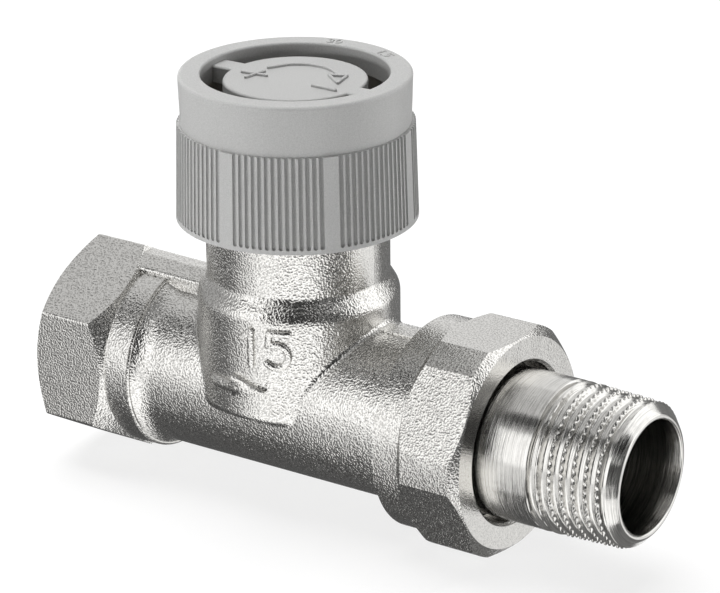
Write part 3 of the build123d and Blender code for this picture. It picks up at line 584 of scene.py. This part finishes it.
def tailpiece_rows():
    """The tailpiece's section as (x, radius), from the bore's inner end round the outside and back.

    A radius of None stands for the thread's own.
    """
    nose = [
        (TAIL_NOSE_X, TAIL_BORE_R + 0.0001),
        (TAIL_NOSE_X, TAIL_NOSE_R),
        (TAIL_NOSE_X + 0.00006, TAIL_NOSE_R + TAIL_NOSE_EDGE),
        (TAIL_CONE_X, TAIL_CONE_R),
        (TAIL_COLLAR_X, TAIL_CONE_R),
    ]
    collar = [
        (TAIL_COLLAR_X, TAIL_COLLAR_R - TAIL_EDGE),
        (TAIL_COLLAR_X + TAIL_EDGE, TAIL_COLLAR_R),
        (TAIL_COLLAR_END_X - TAIL_EDGE, TAIL_COLLAR_R),
        (TAIL_COLLAR_END_X, TAIL_COLLAR_R - TAIL_EDGE),
    ]
    neck = [
        (TAIL_COLLAR_END_X, TAIL_SHANK_R + TAIL_EDGE),
        (TAIL_COLLAR_END_X + TAIL_EDGE, TAIL_SHANK_R),
    ]
    shank = [(x, TAIL_SHANK_R) for x in np.arange(*TAIL_SHANK_ROWS)]
    threaded = [(x, None) for x in np.arange(THREAD_START, THREAD_ROWS_END, THREAD_STEP)]
    chamfer = [(x, None) for x in TAIL_CHAMFER_ROWS]
    mouth = [
        (TAIL_END_X - 0.00003, TAIL_END_R - 0.00003),
        (TAIL_END_X, TAIL_END_R - 0.0001),
        (TAIL_END_X, TAIL_BORE_R + TAIL_EDGE),
        (TAIL_END_X - 0.00006, TAIL_BORE_R + 0.00006),
        (TAIL_END_X - TAIL_EDGE, TAIL_BORE_R),
    ]
    bore = [(x, TAIL_BORE_R) for x in np.arange(*TAIL_BORE_ROWS)]
    bore_end = [(TAIL_NOSE_X + 0.0001, TAIL_BORE_R)]
    return nose + collar + neck + shank + threaded + chamfer + mouth + bore + bore_end


def make_tailpiece():
    """The tailpiece as a closed ring of rows, turned about the pipe line."""
    rows = tailpiece_rows()
    turn = np.arange(TAIL_TURNS) * (2 * math.pi / TAIL_TURNS)
    verts = []
    for x, radius in rows:
        ring = thread_radius(x, turn) if radius is None else np.full(TAIL_TURNS, radius)
        verts.append(np.stack((np.full(TAIL_TURNS, x), -ring * np.cos(turn), -ring * np.sin(turn)), axis=1))
    faces = tube_faces(len(rows), TAIL_TURNS, loop_closed=True)
    piece = put_on("tailpiece_threaded", np.concatenate(verts), faces, "tailpiece", sharp=50.0)
    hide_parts("tailpiece")


def make_inlet_thread():
    """One ridge that winds along the inlet's bore, sunk at its ends."""
    count = int(INLET_TURNS * INLET_STEPS)
    verts = []
    for i in range(count + 1):
        turn = 2 * math.pi * i / INLET_STEPS
        x = INLET_RIDGE_X + THREAD_PITCH * i / INLET_STEPS
        rise = INLET_RIDGE * min(1, i / INLET_RUNOUT_STEPS, (count - i) / INLET_RUNOUT_STEPS)
        section = (
            (-INLET_RIDGE_FOOT, -INLET_RIDGE_SUNK),
            (-INLET_RIDGE_TOP, rise),
            (INLET_RIDGE_TOP, rise),
            (INLET_RIDGE_FOOT, -INLET_RIDGE_SUNK),
        )
        for side, height in section:
            radius = INLET_BORE_R - height
            verts.append((x + side, radius * math.cos(turn), radius * math.sin(turn)))
    faces = tube_faces(count + 1, 4) + [(3, 2, 1, 0), tuple(range(4 * count, 4 * count + 4))]
    put_on("inlet_thread_turns", verts, faces, "valve_body", sharp=25.0)


# Raised signs


def stations_of(points, half_width):
    """A line's points as (point, half width), with a rounded end before the first and after the last."""
    stations = [(Vector(p), half_width) for p in points]
    first = (stations[0][0] - stations[1][0]).normalized()
    last = (stations[-1][0] - stations[-2][0]).normalized()
    start = [(stations[0][0] + first * half_width * math.sin(b), half_width * math.cos(b)) for b in SIGN_END]
    end = [(stations[-1][0] + last * half_width * math.sin(b), half_width * math.cos(b)) for b in SIGN_END]
    return start + stations + end[::-1]


def raised(name, stations, height, place, like, flatness):
    """A raised line of rounded section along its stations, set on a surface by place(u, v, w)."""
    verts = []
    count = len(stations)
    widest = max(half for _, half in stations)
    for i, (point, half) in enumerate(stations):
        before = stations[max(i - 1, 0)][0]
        after = stations[min(i + 1, count - 1)][0]
        along = (after - before).normalized()
        across = Vector((-along.y, along.x))
        edge = min(1.0, (half / widest) ** 0.5) if i in (0, count - 1) else 1.0
        section = [(half * math.sin(a), height * edge * math.cos(a) ** flatness) for a in SIGN_SECTION]
        section = [(section[0][0], -SIGN_SUNK)] + section[1:-1] + [(section[-1][0], -SIGN_SUNK)]
        for side, up in section:
            where = point + across * side
            verts.append(place(where.x, where.y, up))
    around = len(SIGN_SECTION)
    faces = tube_faces(count, around)
    faces += [tuple(range(around))[::-1], tuple(range(around * (count - 1), around * count))]
    put_on(name, verts, faces, like, sharp=60.0)


def on_disc(u, v, w):
    """A place on the cap's disc: u along X and v along Y from the bonnet's axis, w up."""
    return (BONNET_X + u, v, CAP_DISC_Z + w)


def on_boss(u, v, w):
    """A place on the boss's front: u round it towards the outlet, v up, w outwards."""
    turn = u / BOSS_R
    return (BONNET_X + (BOSS_R + w) * math.sin(turn), -(BOSS_R + w) * math.cos(turn), v)


def on_ring(u, v, w):
    """A place on the cap's top ring: u clockwise from the far side, v outwards, w up."""
    turn = math.pi / 2 - u / RING_NUMBER_R
    radius = RING_NUMBER_R + v
    return (BONNET_X + radius * math.cos(turn), radius * math.sin(turn), CAP_RIM_Z + w)


def line_between(start, end, count=4):
    """Points from start to end, in millimetres, given back in metres."""
    a = Vector(start) / 1000
    b = Vector(end) / 1000
    return [a.lerp(b, i / count) for i in range(count + 1)]


def make_cap_marks():
    """A plus, a minus and an arrow that turns from one to the other, on the cap's disc."""
    turns = [math.radians(a) for a in ARC_TURNS]
    marks = {
        "plus_bar": line_between((-7.4, -2.13), (-3.6, -1.68)),
        "plus_stroke": line_between((-5.05, -0.2), (-5.6, -3.8)),
        "minus_bar": line_between((4.2, -1.84), (8.0, -1.87)),
        "arrow_arc": [Vector((ARC_R * math.cos(turn), ARC_R * math.sin(turn))) for turn in turns],
        "arrow_tail": line_between((-5.55, 1.35), (-4.25, 3.6)),
        "arrow_wing_upper": line_between((5.65, 4.20), (6.40, 0.95)),
        "arrow_wing_lower": line_between((6.40, 0.95), (3.45, 3.10)),
        "arrow_base": line_between((3.45, 3.10), (5.65, 4.20)),
    }
    for name, points in marks.items():
        raised(name, stations_of(points, MARK_HALF), MARK_HEIGHT, on_disc, "protective_cap", MARK_FLATNESS)


def make_flow_arrow():
    """The arrow on the boss that points from the inlet to the outlet."""
    stations = [(Vector((u, v)), half) for u, v, half in FLOW_SHAFT + FLOW_HEAD + FLOW_TIP]
    raised("flow_arrow", stations, FLOW_HEIGHT, on_boss, "valve_body", FLOW_FLATNESS)


def bow(centre_x, centre_y, wide, high, start, end):
    """Points along an oval bow, from one angle to the other in steps of about 20 degrees."""
    count = max(3, round(abs(end - start) / 20))
    turns = [math.radians(start + (end - start) * i / count) for i in range(count + 1)]
    return [(centre_x + wide * math.cos(t), centre_y + high * math.sin(t)) for t in turns]


# The strokes of each digit in shares of its height, and the room that it takes
DIGIT_STROKES = {
    "0": [bow(0.30, 0.50, 0.30, 0.50, 90, 440)],
    "1": [
        [(0.32, 1.00), (0.32, 0.67), (0.32, 0.33), (0.32, 0.00)],
        [(0.04, 0.78), (0.17, 0.88), (0.30, 1.00)],
    ],
    "3": [bow(0.28, 0.76, 0.26, 0.24, 150, -80), bow(0.28, 0.27, 0.30, 0.27, 80, -150)],
    "5": [
        [(0.60, 1.00), (0.42, 1.00), (0.22, 1.00), (0.08, 0.99)],
        [(0.08, 1.00), (0.06, 0.80), (0.04, 0.62)] + bow(0.27, 0.34, 0.34, 0.34, 120, -140),
    ],
    ".": [[(0.10, 0.00), (0.14, 0.00), (0.18, 0.00)]],
}
DIGIT_WIDTHS = {"0": 0.86, "1": 0.78, "3": 0.86, "5": 0.86, ".": 0.36}


def number(name, digits, start, base, size, half, rise, place, like):
    """A plain number in raised strokes: start and base are its lower left corner, size its height."""
    for i, digit in enumerate(digits):
        for j, stroke in enumerate(DIGIT_STROKES[digit]):
            line = [Vector((start + x * size, base + y * size)) for x, y in stroke]
            raised(f"{name}_{i}_{j}", stations_of(line, half), rise, place, like, NUMBER_FLATNESS)
        start += DIGIT_WIDTHS[digit] * size


def boss_number(name, digits):
    """A large number on the boss's front."""
    number(
        name,
        digits,
        start=BOSS_NUMBER_START,
        base=BOSS_NUMBER_BASE,
        size=BOSS_NUMBER_SIZE,
        half=BOSS_NUMBER_HALF,
        rise=BOSS_NUMBER_RISE,
        place=on_boss,
        like="valve_body",
    )


def ring_number(name, digits, start):
    """A small number on the cap's top ring, from start round it."""
    number(
        name,
        digits,
        start=start,
        base=RING_NUMBER_BASE,
        size=RING_NUMBER_SIZE,
        half=RING_NUMBER_HALF,
        rise=RING_NUMBER_RISE,
        place=on_ring,
        like="protective_cap",
    )


def make_spring():
    """The return spring as a copy of its CAD node, riding on the insert housing's body."""
    spring = NODES["return_spring"].copy()
    spring.data = NODES["return_spring"].data.copy()
    spring.name = "return_spring_wire"
    bpy.context.scene.collection.objects.link(spring)
    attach(spring, body_of(NODES["insert_housing"])[0])
    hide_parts("return_spring")
    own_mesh(spring)


# Studio


def plain_material(name, level, glow=0.0):
    """A plain matt studio surface, which may glow by itself."""
    material, _, shader, _ = new_material(name)
    shader.inputs["Base Color"].default_value = (level, level, level, 1)
    shader.inputs["Roughness"].default_value = 0.95
    shader.inputs["Specular IOR Level"].default_value = 0.0
    shader.inputs["Emission Color"].default_value = (1, 1, 1, 1)
    shader.inputs["Emission Strength"].default_value = glow
    return material


def stage_sheet(name, corners, material):
    """A flat sheet of the studio through its corners."""
    mesh = bpy.data.meshes.new(name)
    mesh.from_pydata(corners, [], [tuple(range(len(corners)))])
    sheet = bpy.data.objects.new(name, mesh)
    sheet.data.materials.append(material)
    bpy.context.scene.collection.objects.link(sheet)
    return sheet


def background_share(tree):
    """1 for the rays that show the background: the camera's, the mirrored and the transmitted ones."""
    path = tree.nodes.new("ShaderNodeLightPath")
    mirrored = larger(tree, path.outputs["Is Glossy Ray"], path.outputs["Is Transmission Ray"])
    return larger(tree, path.outputs["Is Camera Ray"], mirrored)


def floor_material():
    """A pale floor that is clear from below.

    For the background's rays part of its white is its own, and far off all of it.
    """
    material = plain_material("pale_floor", FLOOR_LEVEL)
    tree = material.node_tree
    place = tree.nodes.new("ShaderNodeTexCoord").outputs["Object"]
    glow = tree.nodes.new("ShaderNodeEmission")
    glow.inputs["Strength"].default_value = FLOOR_GLOW_STRENGTH
    part = tree.nodes.new("ShaderNodeMath")
    part.operation = "MULTIPLY"
    own_white = spread(tree, reach(tree, place, (1, 1, 0)), FLOOR_NEAR, FLOOR_FAR, FLOOR_GLOW, 1)
    tree.links.new(background_share(tree), part.inputs[0])
    tree.links.new(own_white, part.inputs[1])
    above = tree.nodes.new("ShaderNodeMixShader")
    tree.links.new(part.outputs[0], above.inputs["Fac"])
    tree.links.new(tree.nodes["Principled BSDF"].outputs[0], above.inputs[1])
    tree.links.new(glow.outputs[0], above.inputs[2])
    faces = tree.nodes.new("ShaderNodeNewGeometry")
    clear = tree.nodes.new("ShaderNodeBsdfTransparent")
    side = tree.nodes.new("ShaderNodeMixShader")
    tree.links.new(faces.outputs["Backfacing"], side.inputs["Fac"])
    tree.links.new(above.outputs[0], side.inputs[1])
    tree.links.new(clear.outputs[0], side.inputs[2])
    tree.links.new(side.outputs[0], tree.nodes["Material Output"].inputs["Surface"])
    return material


def make_floor():
    """The square floor under the object, which the metal doesn't mirror."""
    corners = [
        (-FLOOR_HALF, -FLOOR_HALF, FLOOR_Z),
        (FLOOR_HALF, -FLOOR_HALF, FLOOR_Z),
        (FLOOR_HALF, FLOOR_HALF, FLOOR_Z),
        (-FLOOR_HALF, FLOOR_HALF, FLOOR_Z),
    ]
    floor = stage_sheet("floor", corners, floor_material())
    floor.visible_glossy = False


def card(name, azimuth, elevation, wide, high, distance, glow):
    """A card that only mirrored rays meet, to shape the metal's reflections."""
    tilt = math.radians(elevation)
    back = away(AZIMUTH + math.radians(azimuth), tilt)
    sideways = Vector((-back.y, back.x, 0)).normalized()
    up = back.cross(sideways)
    centre = TARGET + back * distance
    half_w = sideways * distance * math.tan(math.radians(wide) / 2) * math.cos(tilt)
    half_h = up * distance * math.tan(math.radians(high) / 2)
    corners = [
        centre - half_w - half_h,
        centre + half_w - half_h,
        centre + half_w + half_h,
        centre - half_w + half_h,
    ]
    sheet = stage_sheet(name, corners, plain_material(name, 0.0, glow))
    sheet.visible_camera = False
    sheet.visible_diffuse = False
    sheet.visible_transmission = False
    sheet.visible_shadow = False


def lamp(name, azimuth, elevation, distance, width, height, power):
    """A soft rectangular lamp that faces the target and isn't mirrored."""
    back = away(AZIMUTH + math.radians(azimuth), math.radians(elevation))
    data = bpy.data.lights.new(name, "AREA")
    data.shape = "RECTANGLE"
    data.size = width
    data.size_y = height
    data.energy = power
    light = bpy.data.objects.new(name, data)
    light.location = TARGET + back * distance
    light.rotation_mode = "QUATERNION"
    light.rotation_quaternion = back.to_track_quat("Z", "Y")
    light.visible_glossy = False
    bpy.context.scene.collection.objects.link(light)


def make_world():
    """A grey world that lights the object, and is white to the background's rays."""
    world = bpy.data.worlds.new("studio")
    world.use_nodes = True
    bpy.context.scene.world = world
    tree = world.node_tree
    sky = tree.nodes["Background"]
    sky.inputs["Color"].default_value = (WORLD_LEVEL, WORLD_LEVEL, WORLD_LEVEL, 1)
    white = tree.nodes.new("ShaderNodeBackground")
    white.inputs["Color"].default_value = (1, 1, 1, 1)
    choice = tree.nodes.new("ShaderNodeMixShader")
    tree.links.new(background_share(tree), choice.inputs["Fac"])
    tree.links.new(sky.outputs[0], choice.inputs[1])
    tree.links.new(white.outputs[0], choice.inputs[2])
    tree.links.new(choice.outputs[0], tree.nodes["World Output"].inputs["Surface"])


make_camera()
FINISHES = make_finishes()
for node_name, slot_name in SLOT_OF.items():
    NODES[node_name].data.materials.clear()
    NODES[node_name].data.materials.append(FINISHES[slot_name])

make_tailpiece()
make_inlet_thread()
make_cap_marks()
make_flow_arrow()
boss_number("boss_number", "15")
ring_number("ring_number_30", "30", -0.0043)
ring_number("ring_number_1.5", "1.5", 0.0048)
make_spring()

make_floor()
for card_row in CARDS:
    card(*card_row)
for lamp_row in LAMPS:
    lamp(*lamp_row)
make_world()
bpy.context.scene.view_settings.view_transform = "Standard"
